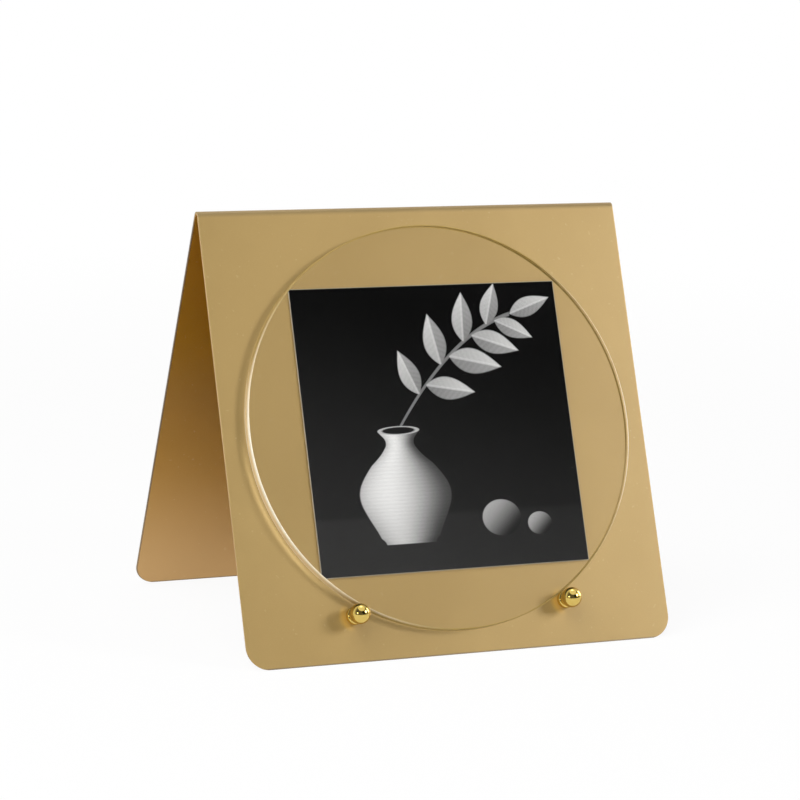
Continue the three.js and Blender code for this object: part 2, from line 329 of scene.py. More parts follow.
class Term:
    """A value on a shader link. Arithmetic on it adds Math nodes to its finish."""

    def __init__(self, finish, socket):
        self.finish = finish
        self.socket = socket

    def math(self, operation, *others):
        return self.finish.add("ShaderNodeMath", {"operation": operation}, [self, *others])

    def __add__(self, other):
        return self.math("ADD", other)

    def __sub__(self, other):
        return self.math("SUBTRACT", other)

    def __mul__(self, other):
        return self.math("MULTIPLY", other)

    def __truediv__(self, other):
        return self.math("DIVIDE", other)

    def __pow__(self, other):
        return self.math("POWER", other)

    def __rsub__(self, other):
        return self.finish.add("ShaderNodeMath", {"operation": "SUBTRACT"}, [other, self])

    __radd__ = __add__
    __rmul__ = __mul__

    def least(self, other):
        return self.math("MINIMUM", other)

    def most(self, other):
        return self.math("MAXIMUM", other)

    def size(self):
        return self.math("ABSOLUTE")

    def root(self):
        return self.math("SQRT")

    def sine(self):
        return self.math("SINE")

    def blend(self, share, other):
        """This value where share is 0, and the other one where it is 1."""
        return self.finish.add("ShaderNodeMix", None, {0: share, 2: self, 3: other})

    def between(self, low, high, at_low=0.0, at_high=1.0):
        """A smooth step from one value to another as this value goes from low to high."""
        settings = {"interpolation_type": "SMOOTHSTEP"}
        return self.finish.add("ShaderNodeMapRange", settings, [self, low, high, at_low, at_high])


class Finish:
    """A material's or world's nodes while they are put together."""

    def __init__(self, owner):
        owner.use_nodes = True
        self.owner = owner
        self.tree = owner.node_tree
        self.tree.nodes.clear()

    def add(self, kind, settings=None, inputs=None, output=0):
        """Adds a node: its settings first, then the values or links of its sockets, by place or name."""
        node = self.tree.nodes.new(kind)
        for setting, value in (settings or {}).items():
            if setting == "stops":
                self.set_stops(node.color_ramp, value)
            else:
                setattr(node, setting, value)
        pairs = inputs.items() if isinstance(inputs, dict) else enumerate(inputs or [])
        for place, value in pairs:
            if isinstance(value, Term):
                self.tree.links.new(value.socket, node.inputs[place])
            elif value is not None:
                node.inputs[place].default_value = value
        return Term(self, node.outputs[output]) if len(node.outputs) else None

    def set_stops(self, ramp, stops):
        """Gives a ramp its stops, each a place and a grey tone, with a smooth curve along them."""
        ramp.interpolation = "B_SPLINE"
        while len(ramp.elements) < len(stops):
            ramp.elements.new(0.5)
        for element, (place, tone) in zip(ramp.elements, stops):
            element.position = place
            element.color = (tone, tone, tone, 1)

    def mix(self, share, first, second):
        """A colour between two colours."""
        return self.add("ShaderNodeMix", {"data_type": "RGBA"}, {0: share, 6: first, 7: second}, output=2)

    def noise(self, scale, detail=2.0, roughness=0.5):
        """Cloudy noise from 0 to 1 on the piece's own coordinates, with so many cells a metre."""
        settings = {"noise_dimensions": "3D"}
        place = self.add("ShaderNodeTexCoord", output="Object")
        inputs = {"Vector": place, "Scale": scale, "Detail": detail, "Roughness": roughness}
        return self.add("ShaderNodeTexNoise", settings, inputs)

    def bump(self, height, relief):
        """A normal that follows a height from 0 to 1, so deep."""
        inputs = {"Strength": 1.0, "Distance": relief, "Height": height}
        return self.add("ShaderNodeBump", None, inputs)

    def surface(self, **sockets):
        """The main shader, from the values or links of its named sockets."""
        inputs = {name.replace("_", " "): value for name, value in sockets.items()}
        return self.add("ShaderNodeBsdfPrincipled", None, inputs)

    def blend(self, share, first, second):
        """One shader where the share is 0, and another where it is 1."""
        return self.add("ShaderNodeMixShader", None, [share, first, second])

    def by_ray(self, kind, others, these):
        """One shader for rays of this kind, and another for the others."""
        ray = self.add("ShaderNodeLightPath", output=f"Is {kind} Ray")
        return self.blend(ray, others, these)

    def through(self, level):
        """Lets light straight through: all of it at a level of 1, and more where light is gathered."""
        return self.add("ShaderNodeBsdfTransparent", None, [(level, level, level, 1)])

    def see_through(self, surface, lamp):
        """A clear piece: a surface that the camera sees, which mirrors and matt surfaces look through,
        and a shader for the lamps' light on its way through."""
        clear = self.through(1)
        shader = self.by_ray("Glossy", surface, self.by_ray("Transmission", clear, surface))
        shader = self.by_ray("Diffuse", shader, clear)
        return self.by_ray("Shadow", shader, lamp)

    def place(self):
        """The piece's own coordinates, as three values."""
        place = self.add("ShaderNodeTexCoord", output="Object")
        return [self.add("ShaderNodeSeparateXYZ", None, [place], output=i) for i in range(3)]

    def panel_place(self):
        """The place on the front panel: across it, up its slope and out of its face."""
        x, y, z = self.place()
        back = y - float(FRONT_FOOT[1])
        uphill = back * math.sin(LEAN) + z * math.cos(LEAN)
        level = z * math.sin(LEAN) - back * math.cos(LEAN)
        return x, uphill, level

    def end(self, shader, kind="ShaderNodeOutputMaterial"):
        """Links a shader to the output, and gives back the material or world."""
        self.add(kind, None, {"Surface": shader})
        return self.owner


def material(name):
    """The nodes of a new material."""
    return Finish(bpy.data.materials.new(name))


# In the finishes, a range is a start and an end, and then the values there if they aren't 0 and 1.
# A scale counts the noise's cells in a metre, and a relief is its depth.
WHITE = (1, 1, 1, 1)

# Gold paint
GOLD_DEEP = (0.445, 0.295, 0.095, 1)
GOLD_PALE = (0.475, 0.318, 0.106, 1)
# Inside the tent, painted light and shade: pale with floor light low down, deep in shade up in the fold
GOLD_INNER_LOW = (0.6, 0.375, 0.16, 1)
GOLD_INNER_MIDDLE = (0.485, 0.263, 0.055, 1)
GOLD_INNER_HIGH = (0.54, 0.28, 0.02, 1)
GOLD_FLAKE = (0.6, 0.42, 0.16, 1)
GOLD_SPECK = (0.8, 0.68, 0.45, 1)
# Painted shade: a dark line along the fold's crest
GOLD_CREST_SHADE = (0.2, 0.16, 0.1, 1)
# Painted highlight along the front panel's cut edges
GOLD_EDGE_HIGHLIGHT = (0.68, 0.48, 0.22, 1)
# Painted shade along the back panel's cut edges and along the feet
GOLD_EDGE_SHADE = (0.145, 0.12, 0.095, 1)
# Painted reflection of the studs' gold on the panel beside them
GOLD_GLOW = (0.92, 0.54, 0.07, 1)
GOLD_METAL = 0.45
GOLD_METAL_INNER = 0.85
GOLD_ROUGH = 0.5
GOLD_ROUGH_INNER = 0.38
GOLD_ROUGH_FLAKE = 0.05
GOLD_ROUGH_CLOUDS = 0.03
GOLD_COAT = 0.9
GOLD_COAT_INNER = 0.05
GOLD_COAT_LOST = 0.6  # along the crest and the cut edges
GOLD_COAT_ROUGH = 0.38
GOLD_RELIEF = 0.012 * MM
CLOUD_SCALE = 24
CLOUD_RANGE = (0.3, 0.7)
FLAKE_SCALE = 3200
FLAKE_RANGE = (0.35, 0.75, 0, 0.12)
SPECK_SCALE = 700
SPECK_RANGE = (0.79, 0.84, 0, 0.12)
GRIT_SCALE = 900
GRIT_SHARE = 0.6
INNER_CLOUDS = 0.2
INNER_LOWER_RANGE = (0, 75 * MM)  # heights above the floor, as are the next four
INNER_UPPER_RANGE = (90 * MM, 130 * MM)
EDGE_HIGHLIGHT_RANGE = (40 * MM, 110 * MM, 0.12, 0.4)
REAR_EDGE_SHADE_RANGE = (5 * MM, 60 * MM, 0.6, 0.85)
FOOT_SHADE_RANGE = (0.2 * MM, 0.8 * MM, 0.6, 0)
REAR_BLEND = 4 * MM
CREST_BELOW = 0.2 * MM
CREST_ABOVE = 1.8 * MM
CREST_SHADE_SHARE = 0.45
# Painted reflection of each stud's gold, warm on the panel at its lower left
GLOW_REACH = 3.5 * MM
GLOW_SIDE_RANGE = (-6 * MM, 0, 1, 0)
GLOW_SLANT = 0.2
GLOW_SHARE = 0.65


def gold_paint():
    """Satin champagne gold paint: fine metal flake, faint clouds and a few light specks. Its colour also
    holds
    painted light and shade: inside the tent, painted floor light low down and painted shade deepest up in
    the fold; painted shade along the fold's crest, the back panel's cut edges and the feet; a painted
    highlight on the front panel's cut edges; and a painted reflection of the studs' gold on the panel
    beside them."""
    look = material("champagne_gold_paint")
    clouds = look.noise(CLOUD_SCALE, detail=3)
    flake = look.noise(FLAKE_SCALE, detail=1)
    speck = look.noise(SPECK_SCALE, detail=0).between(*SPECK_RANGE)
    grit = look.noise(GRIT_SCALE)
    edge = look.add("ShaderNodeAttribute", {"attribute_name": "edge"}, output="Fac")
    inside = look.add("ShaderNodeAttribute", {"attribute_name": "inside"}, output="Fac")
    outside = 1 - inside
    x, y, z = look.place()
    # Painted light and shade on the inside: paler with floor light low down, deeper in shade up in the fold
    inner = z.between(*INNER_LOWER_RANGE) * (1 - INNER_CLOUDS / 2 + INNER_CLOUDS * clouds)
    inner = look.mix(inner, GOLD_INNER_LOW, GOLD_INNER_MIDDLE)
    inner = look.mix(z.between(*INNER_UPPER_RANGE), inner, GOLD_INNER_HIGH)
    tone = look.mix(clouds.between(*CLOUD_RANGE), GOLD_DEEP, GOLD_PALE)
    tone = look.mix(inside, tone, inner)
    tone = look.mix(flake.between(*FLAKE_RANGE), tone, GOLD_FLAKE)
    tone = look.mix(speck, tone, GOLD_SPECK)
    rear = y.between(fold_y, fold_y + REAR_BLEND)
    # Painted highlight along the front panel's cut edges, stronger higher up
    tone = look.mix(edge * z.between(*EDGE_HIGHLIGHT_RANGE) * (1 - rear), tone, GOLD_EDGE_HIGHLIGHT)
    # Painted shade along the back panel's cut edges, and a line of it along the feet
    rear_edge_shade = edge * z.between(*REAR_EDGE_SHADE_RANGE) * rear
    tone = look.mix(rear_edge_shade.most(z.between(*FOOT_SHADE_RANGE)), tone, GOLD_EDGE_SHADE)
    # The fold's crest: painted shade darkens it, and its coat is thinner there
    crest = z.between(fold_height - CREST_BELOW, fold_height + CREST_ABOVE) * outside
    tone = look.mix(crest * CREST_SHADE_SHARE, tone, GOLD_CREST_SHADE)
    uphill = look.panel_place()[1] - stud_height
    # Painted reflection: each stud's gold shining warm on the panel beside it
    for middle in (-STUD_SPACING / 2, STUD_SPACING / 2):
        across = x - middle
        reach = (across * across + uphill * uphill).root()
        beside = reach.between(SLEEVE_RADIUS, SLEEVE_RADIUS + GLOW_REACH, 1, 0)
        beside = beside * (across + GLOW_SLANT * uphill).between(*GLOW_SIDE_RANGE)
        tone = look.mix(beside * outside * GLOW_SHARE, tone, GOLD_GLOW)
    metal = inside.between(0, 1, GOLD_METAL, GOLD_METAL_INNER)
    rough = inside.between(0, 1, GOLD_ROUGH, GOLD_ROUGH_INNER)
    rough = rough + GOLD_ROUGH_FLAKE * flake + GOLD_ROUGH_CLOUDS * clouds
    coat = inside.between(0, 1, GOLD_COAT, GOLD_COAT_INNER)
    coat = coat * (1 - GOLD_COAT_LOST * crest) * (1 - GOLD_COAT_LOST * edge)
    normal = look.bump(flake + GRIT_SHARE * grit, GOLD_RELIEF)
    return look.end(look.surface(
        Base_Color=tone, Metallic=metal, Roughness=rough, Coat_Weight=coat,
        Coat_Roughness=GOLD_COAT_ROUGH, Normal=normal,
    ))


# Gold plate
PLATE_DEEP = (0.67, 0.475, 0.115, 1)
PLATE_PALE = (0.73, 0.545, 0.16, 1)
PLATE_HAZE_SCALE = 500
PLATE_ROUGH_RANGE = (0.45, 0.8, 0.07, 0.14)
PLATE_MARK_SCALE = 2600
PLATE_RELIEF = 0.004 * MM


def polished_gold():
    """Polished gold plate, with the faint haze of handling and the finest polishing marks."""
    look = material("polished_gold_plate")
    haze = look.noise(PLATE_HAZE_SCALE, detail=3)
    tone = look.mix(haze, PLATE_DEEP, PLATE_PALE)
    rough = haze.between(*PLATE_ROUGH_RANGE)
    normal = look.bump(look.noise(PLATE_MARK_SCALE), PLATE_RELIEF)
    return look.end(look.surface(Base_Color=tone, Metallic=1.0, Roughness=rough, Normal=normal))


# Zinc plate
ZINC_DEEP = (0.5, 0.51, 0.52, 1)
ZINC_PALE = (0.66, 0.67, 0.67, 1)
ZINC_CLOUD_SCALE = 700
ZINC_GRAIN_SCALE = 5200
ZINC_GRAIN_CRISP = 0.7
ZINC_ROUGH = 0.26
ZINC_ROUGH_CLOUDS = 0.16
ZINC_RELIEF = 0.008 * MM


def plated_steel():
    """Bright zinc on steel: cloudy grey with a fine turned grain."""
    look = material("zinc_plated_steel")
    clouds = look.noise(ZINC_CLOUD_SCALE, detail=3)
    grain = look.noise(ZINC_GRAIN_SCALE, roughness=ZINC_GRAIN_CRISP)
    tone = look.mix(clouds, ZINC_DEEP, ZINC_PALE)
    rough = ZINC_ROUGH + ZINC_ROUGH_CLOUDS * clouds
    normal = look.bump(grain, ZINC_RELIEF)
    return look.end(look.surface(Base_Color=tone, Metallic=1.0, Roughness=rough, Normal=normal))


# Acrylic
ACRYLIC_IOR = 1.49
FACE_TINT = (0.99, 0.985, 0.97, 1)
FACE_LAMP_SHARE = 0.97
SMEAR_SCALE = 55
SMEAR_CRISP = 0.6
SMEAR_ROUGH_RANGE = (0.5, 0.85, 0.012, 0.032)


def clear_acrylic():
    """Clear cast acrylic. Nearly all of the lamps' light shines through it, and so does light that comes
    back from what is behind it. Faint smears of handling dull its gloss a little."""
    look = material("clear_acrylic_face")
    rough = look.noise(SMEAR_SCALE, detail=4, roughness=SMEAR_CRISP).between(*SMEAR_ROUGH_RANGE)
    glass = look.surface(Base_Color=FACE_TINT, Roughness=rough, IOR=ACRYLIC_IOR, Transmission_Weight=1.0)
    return look.end(look.see_through(glass, look.through(FACE_LAMP_SHARE)))


# The cover's rim, on which across and uphill are shares of its radius from its middle
# Painted light and shade on the rim: highlight, lit cream, the gold seen behind it and the gap's shade
RIM_HIGHLIGHT = (1.0, 0.94, 0.79, 1)
RIM_LIT = (0.86, 0.64, 0.34, 1)
RIM_GOLD_SEEN = (0.4, 0.27, 0.07, 1)
RIM_GAP_SHADE = (0.2, 0.13, 0.02, 1)
RIM_ROUGH = 0.35
RIM_ROUGH_MARKS = 0.1
RIM_CLEAR = 0.05
RIM_MARK_SCALE = 900
RIM_LEFT = math.radians(198)  # towards where the rim's painted light is palest on the left
RIM_WALL_RANGE = (0.7, 0.97)  # shares of the radius in that direction, as is the next
RIM_LINE_RANGE = (0.3, 1)
RIM_RIGHT_RANGE = (0.55, 1)
RIM_RIGHT_LOW_RANGE = (-0.6, -0.1, 0.4, 1)
RIM_LINE_LOW_RANGE = (-0.85, -0.4, 0.6, 1)
RIM_LINE_HIGH_RANGE = (-0.02, 0.3, 1, 0.5)
RIM_LINE_LEVEL_RANGE = (cover_front - 2.6 * MM, cover_front - 0.3 * MM)
RIM_LINE_MARKS = 0.2
RIM_BACK_LEVEL_RANGE = (cover_back + 0.3 * MM, cover_back + 1.3 * MM, 0.9, 0)
RIM_GAP_RANGE = (0.2, 0.6)
RIM_GAP_LOW_RANGE = (-0.6, 0, 0.5, 1)
RIM_GAP_LEVEL_RANGE = (cover_back, cover_back + 2 * MM, 1, 0)
RIM_SHADE = 0.1
RIM_SHADE_RANGE = (-0.3, 0.3, 1, 0)
RIM_SHADE_LEVEL_RANGE = (2.8 * MM, 4.6 * MM, 1, 0)
RIM_GATHER = 2.6
RIM_FOCUS = math.radians(205)  # towards where the most light gets out of it
RIM_FOCUS_RANGE = (0.88, 1)
RIM_FOCUS_LEVEL_RANGE = (1.1 * MM, 3.4 * MM, 1, 0)


def cut_acrylic():
    """The cover's sawn and lightly polished rim, with a pale satin film. Its tones are painted light and
    shade:
    painted light at the left and right, a painted highlight along its front edge and the left of its back
    edge, and elsewhere a painted reflection of the gold behind it, with painted shade of the gap on the
    right. Light that gets out on the left through its back half falls close beside it, and is dimmer there,
    but for a bright stretch where the rim gathers most of it."""
    look = material("cut_acrylic_rim")
    across, uphill, level = look.panel_place()
    across = across * (1 / cover_radius)
    uphill = (uphill - cover_height) * (1 / cover_radius)
    leftward = across * math.cos(RIM_LEFT) + uphill * math.sin(RIM_LEFT)
    rightward = across.between(*RIM_RIGHT_RANGE) * uphill.between(*RIM_RIGHT_LOW_RANGE)
    marks = look.noise(RIM_MARK_SCALE, detail=3)
    left_wall = leftward.between(*RIM_WALL_RANGE)
    # Painted light on the left wall and the right of the rim, and a painted reflection of the gold
    # elsewhere
    tone = look.mix(left_wall.most(rightward), RIM_GOLD_SEEN, RIM_LIT)
    # Painted shade of the gap behind the rim, on its right
    gap = across.between(*RIM_GAP_RANGE) * level.between(*RIM_GAP_LEVEL_RANGE)
    tone = look.mix(gap * uphill.between(*RIM_GAP_LOW_RANGE), tone, RIM_GAP_SHADE)
    # Painted highlight along the front edge, and painted light along the left of the back edge
    front_highlight = leftward.between(*RIM_LINE_RANGE).most(rightward) * level.between(*RIM_LINE_LEVEL_RANGE)
    front_highlight = front_highlight * uphill.between(*RIM_LINE_LOW_RANGE) * uphill.between(*RIM_LINE_HIGH_RANGE)
    front_highlight = front_highlight * (1 - RIM_LINE_MARKS + RIM_LINE_MARKS * marks)
    back_highlight = left_wall * level.between(*RIM_BACK_LEVEL_RANGE)
    tone = look.mix(front_highlight.most(back_highlight), tone, RIM_HIGHLIGHT)
    rough = RIM_ROUGH + RIM_ROUGH_MARKS * marks
    satin = look.surface(
        Base_Color=tone, Roughness=rough, IOR=ACRYLIC_IOR, Transmission_Weight=RIM_CLEAR,
    )
    held = across.between(*RIM_SHADE_RANGE) * level.between(*RIM_SHADE_LEVEL_RANGE)
    focus = across * math.cos(RIM_FOCUS) + uphill * math.sin(RIM_FOCUS)
    focus = focus.between(*RIM_FOCUS_RANGE) * level.between(*RIM_FOCUS_LEVEL_RANGE)
    from_inside = look.add("ShaderNodeNewGeometry", output="Backfacing")
    lamp = look.blend(held, look.through(1), look.through(RIM_SHADE))
    lamp = look.blend(focus, lamp, look.through(RIM_GATHER))
    lamp = look.blend(from_inside, lamp, look.through(1))
    return look.end(look.see_through(satin, lamp))


# Photo paper
PAPER_WHITE = (0.72, 0.71, 0.68, 1)
# Painted shade: the thin border's dim warm tone
PAPER_BORDER_SHADE = (0.4, 0.35, 0.26, 1)
PAPER_ROUGH = 0.4
PAPER_ROUGH_GRAIN = 0.08
PAPER_GLOSS = 0.03
PAPER_GRAIN_SCALE = 1500
PAPER_MOTTLE = 0.2
PAPER_RELIEF = 0.006 * MM
PAPER_BACK_RANGE = (print_front - 0.1 * MM, print_front - 0.05 * MM, 1, 0)

# The picture on the print, in millimetres from its middle: a vase with a leafy twig, and two stones
BORDER_RANGE = (63.1, 63.3)
GROUND_DARK = 0.0005
GROUND_MOTTLE = 2
GROUND_SCALE = 22
# Painted reflection: a soft glare over the lower left, measured from a point past that corner, as is the
# table
PICTURE_CORNER = 70.0
GLARE_SLANT = 0.35
GLARE_RANGE = (0, 150, 0.026, 0)
TABLE_RANGE = (-40.0, -37.0, 1, 0)
TABLE_TONE_RANGE = (10, 120, 0.01, 0.006)
VASE_MIDDLE = -20.0
VASE_FOOT = -51.0
VASE_HEIGHT = 50.0
VASE_REACH = 32.0
VASE_OUTLINE = (  # place from foot to mouth, and share of the reach
    (0.0, 0.36),
    (0.06, 0.4),
    (0.3, 0.66),
    (0.5, 0.72),
    (0.7, 0.46),
    (0.84, 0.2),
    (0.93, 0.2),
    (1.0, 0.34),
)
VASE_LIT = 0.38
VASE_SHADE_RANGE = (0, 1.35, 0.85, 0.07)
VASE_FADE_RANGE = (-0.1, 0.5, 0.7, 1)
VASE_SIDE_RANGE = (0.96, 1, 1, 0)
VASE_ENDS_RANGE = (0, 0.01)
VASE_RINGS = 190
VASE_RING_SHARE = 0.03
MOUTH_HALF = 9.6
MOUTH_RISE = 1.9
MOUTH_RANGE = (0.98, 1.06, 1, 0)
MOUTH_TONE_RANGE = (0.72, 0.9, 0.012, 0.5)
TWIG_SPAN = 60.0
TWIG_RISE = 84.0
TWIG_DROOP = 34.0
TWIG_RANGE = (0.55, 1.21, 1, 0)
TWIG_ENDS_RANGE = (-0.002, 0.002)
TWIG_TONE = 0.2
LEAVES = (  # place along the twig, turn from it in degrees, length and half width
    (0.2, 62, 22, 5.0),
    (0.26, -58, 24, 5.4),
    (0.4, 56, 24, 5.6),
    (0.47, -54, 26, 6.0),
    (0.6, 50, 23, 5.2),
    (0.67, -52, 24, 5.4),
    (0.8, 46, 20, 4.6),
    (0.87, -48, 20, 4.4),
    (1.0, 4, 22, 4.6),
)
LEAF_BELLY = 0.8
LEAF_RIM_RANGE = (0, 0.14)
LEAF_RIB_RANGE = (0.04, 0.14, 0.16, 0)
LEAF_HALVES_RANGE = (-0.15, 0.15, 0.32, 0.56)
LEAF_LENGTH_RANGE = (0, 1, 0.75, 1.1)
LEAF_VEINS = 60
LEAF_VEIN_SLANT = 9
LEAF_VEIN_SHARE = 0.015
STONES = ((24.0, -42.0, 9.5), (42.0, -45.5, 6.0))  # middle and radius
STONE_FLAT = 1.15
STONE_LIGHT = (0.6, 0.55)  # towards the left and up
STONE_SHADE_RANGE = (-0.7, 0.9, 0.02, 0.42)
STONE_RIM_RANGE = (0.94, 1, 1, 0)


def twig_height(place):
    """How high the twig is at a place along it: a parabola from the vase's mouth."""
    return VASE_FOOT + VASE_HEIGHT + (TWIG_RISE - TWIG_DROOP * place) * place


def leaf(tone, u, v, place, turn, length, half):
    """Lays an almond leaf over a picture's tone: its half width is a sine of the way along it. One half
    is lighter than the other, with a pale rib between them and faint veins."""
    slope = math.atan2(TWIG_RISE - 2 * TWIG_DROOP * place, TWIG_SPAN)
    angle = slope + math.radians(turn)
    du = u - (VASE_MIDDLE + TWIG_SPAN * place)
    dv = v - twig_height(place)
    along = (du * (math.cos(angle) / length) + dv * (math.sin(angle) / length)).most(0).least(1)
    side = dv * (math.cos(angle) / half) - du * (math.sin(angle) / half)
    inside = ((along ** LEAF_BELLY) * math.pi).sine() - side.size()
    veins = (along * LEAF_VEINS + side.size() * LEAF_VEIN_SLANT).sine()
    shade = side.between(*LEAF_HALVES_RANGE) * along.between(*LEAF_LENGTH_RANGE)
    shade = shade + side.size().between(*LEAF_RIB_RANGE) + LEAF_VEIN_SHARE * veins
    return tone.blend(inside.between(*LEAF_RIM_RANGE), shade)


def stone(tone, u, v, middle, level, radius):
    """Lays a round stone over a picture's tone, lit from the upper left."""
    du = (u - middle) * (1 / radius)
    dv = (v - level) * (STONE_FLAT / radius)
    leftward, upward = STONE_LIGHT
    shade = (dv * upward - du * leftward).between(*STONE_SHADE_RANGE)
    reach = (du * du + dv * dv).root()
    return tone.blend(reach.between(*STONE_RIM_RANGE), shade)


def vase(tone, look, u, v):
    """Lays a turned vase over a picture's tone: its half width is a smooth curve of its height, and its
    tone falls off round its sides, from a light at the left."""
    height = (v - VASE_FOOT) * (1 / VASE_HEIGHT)
    outline = look.add("ShaderNodeValToRGB", {"stops": VASE_OUTLINE}, [height])
    across = (u - VASE_MIDDLE) / (outline * VASE_REACH)
    shade = (across + VASE_LIT).size().between(*VASE_SHADE_RANGE)
    shade = shade * (1 - VASE_RING_SHARE + VASE_RING_SHARE * (height * VASE_RINGS).sine())
    shade = shade * height.between(*VASE_FADE_RANGE)
    inside = across.size().between(*VASE_SIDE_RANGE)
    inside = inside * (height * (1 - height)).between(*VASE_ENDS_RANGE)
    tone = tone.blend(inside, shade)
    mouth_across = (u - VASE_MIDDLE) * (1 / MOUTH_HALF)
    mouth_up = (v - VASE_FOOT - VASE_HEIGHT) * (1 / MOUTH_RISE)
    mouth = (mouth_across * mouth_across + mouth_up * mouth_up).root()
    return tone.blend(mouth.between(*MOUTH_RANGE), mouth.between(*MOUTH_TONE_RANGE))


def picture(look, u, v):
    """The picture's tone: a dark ground with a painted reflection, a soft glare, over its lower left, a dim
    table, a twig that climbs in a parabola with a leaf on either side in turn, then the vase and the
    stones."""
    from_left = u + PICTURE_CORNER
    # Painted reflection: a soft glare that rises towards the lower left
    haze = (from_left * GLARE_SLANT + (v + PICTURE_CORNER)).between(*GLARE_RANGE)
    tone = haze + GROUND_DARK * (1 + GROUND_MOTTLE * look.noise(GROUND_SCALE, detail=3))
    tone = tone + v.between(*TABLE_RANGE) * from_left.between(*TABLE_TONE_RANGE)
    place = (u - VASE_MIDDLE) * (1 / TWIG_SPAN)
    on_twig = (v - twig_height(place)).size().between(*TWIG_RANGE)
    on_twig = on_twig * (place * (1 - place)).between(*TWIG_ENDS_RANGE)
    tone = tone.blend(on_twig, TWIG_TONE)
    for measures in LEAVES:
        tone = leaf(tone, u, v, *measures)
    tone = vase(tone, look, u, v)
    for measures in STONES:
        tone = stone(tone, u, v, *measures)
    return tone


def photo_paper():
    """Photo paper: a dark picture inside a thin border, dimmed and warmed as painted shade, on white paper.
    """
    look = material("photo_paper")
    across, uphill, level = look.panel_place()
    u = across * (1 / MM)
    v = (uphill - cover_height) * (1 / MM)
    grain = look.noise(PAPER_GRAIN_SCALE)
    tone = picture(look, u, v) * (1 - PAPER_MOTTLE / 2 + PAPER_MOTTLE * grain)
    printed = look.add("ShaderNodeCombineColor", None, [tone, tone, tone])
    # The thin border, in a dim warm tone of painted shade
    border = u.size().most(v.size()).between(*BORDER_RANGE)
    tone = look.mix(border, printed, PAPER_BORDER_SHADE)
    tone = look.mix(level.between(*PAPER_BACK_RANGE), tone, PAPER_WHITE)
    rough = PAPER_ROUGH + PAPER_ROUGH_GRAIN * grain
    normal = look.bump(grain, PAPER_RELIEF)
    return look.end(look.surface(
        Base_Color=tone, Roughness=rough, Specular_IOR_Level=PAPER_GLOSS, Normal=normal,
    ))


gold_sheet_finish = gold_paint()
gold_plate_finish = polished_gold()
steel_finish = plated_steel()
cover_face_finish = clear_acrylic()
cover_rim_finish = cut_acrylic()
print_finish = photo_paper()


def settle(piece, body, slot, *nodes):
    """Puts a finished piece on its body in place of the solids that it stands for."""
    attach(piece, body)
    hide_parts(*nodes)


# Every piece on its body
settle(folded_sheet(gold_sheet_finish), "stand", "gold_paint", "folded_stand")
settle(print_sheet(print_finish), "print", "print_paper", "photo_print")
cover = clear_cover(cover_face_finish, cover_rim_finish)
settle(cover, "cover", "clear_acrylic", "clear_cover")
balls = []
for hand, place in (("left", -STUD_SPACING / 2), ("right", STUD_SPACING / 2)):
    ball = ball_nut(f"{hand}_ball", place, gold_plate_finish)
    settle(ball, f"{hand}_ball", "polished_gold", f"{hand}_ball_nut")
    balls.append(ball)
    section = rounded_profile(bore_radius, SLEEVE_RADIUS, sleeve_back, sleeve_front, SLEEVE_EDGE)
    sleeve = turned_piece(
        f"{hand}_sleeve", section, gold_plate_finish, place, stud_height, STUD_STEPS, ends="ring",
    )
    settle(sleeve, "stand", "polished_gold", f"{hand}_spacer_sleeve")
    screw = socket_screw(f"{hand}_screw", place, steel_finish)
    settle(screw, f"{hand}_screw", "plated_steel", f"{hand}_socket_screw")
    spring_ring = lock_ring(f"{hand}_spring_ring", place, steel_finish)
    settle(spring_ring, "stand", "plated_steel", f"{hand}_lock_ring")
    section = rounded_profile(bore_radius, washer_radius, washer_back, washer_front, SMALL_EDGE)
    washer = turned_piece(
        f"{hand}_washer", section, steel_finish, place, stud_height, STUD_STEPS, ends="ring",
    )
    settle(washer, "stand", "plated_steel", f"{hand}_flat_washer")

# Studio: a white floor, a white room that is dark on the camera's side, and soft lamps
FLOOR_HALF = 3.0
FLOOR_TONE = (0.9, 0.9, 0.9, 1)
FLOOR_ROUGH = 0.9
FLOOR_GLOW_RANGE = (0.3, 1.2, 0.93, 1)  # short of plain white near the object, which leaves its shadow
FLOOR_MIRROR_RANGE = (0.07, 0.23)
ROOM_LIGHT = 0.15
ROOM_MIRROR = 1.0
DARK_SIDE = (0.0, -0.92, 0.38)  # towards the camera's side of the room
DARK_RANGE = (-0.1, 0.5, 1, 0.13)
DARK_CORE = (0.393, -0.772, 0.5)  # what the cover mirrors over the print
CORE_RANGE = (0.88, 0.96, 1, 0.15)


def ray_share(look, *kinds):
    """1 for rays of one of these kinds, and 0 for the rest."""
    shares = [look.add("ShaderNodeLightPath", output=f"Is {kind} Ray") for kind in kinds]
    total = shares[0]
    for share in shares[1:]:
        total = total.most(share)
    return total


def floor_finish():
    """Matt white paper that glows where it is seen, more so far from the object. Mirrors and glass see
    its own shade close to the front foot and the glow further off."""
    look = material("white_floor")
    x, y = look.place()[:2]
    reach = (x * x + y * y).root()
    straight = ray_share(look, "Camera") * reach.between(*FLOOR_GLOW_RANGE)
    behind = y - float(FRONT_FOOT[1])
    from_foot = (x * x + behind * behind).root()
    mirrored = ray_share(look, "Glossy", "Transmission") * from_foot.between(*FLOOR_MIRROR_RANGE)
    paper = look.surface(Base_Color=FLOOR_TONE, Roughness=FLOOR_ROUGH)
    glow = look.add("ShaderNodeEmission", None, [WHITE, 1.0])
    return look.end(look.blend(straight.most(mirrored), paper, glow))


def floor_sheet(finish):
    """The floor: one level square under the middle of the object."""
    signs = ((-1, -1), (1, -1), (1, 1), (-1, 1))
    corners = [(x * FLOOR_HALF, y * FLOOR_HALF, 0) for x, y in signs]
    mesh = bpy.data.meshes.new("floor")
    mesh.from_pydata(corners, [], [range(4)])
    mesh.materials.append(finish)
    floor = bpy.data.objects.new("floor", mesh)
    bpy.context.scene.collection.objects.link(floor)


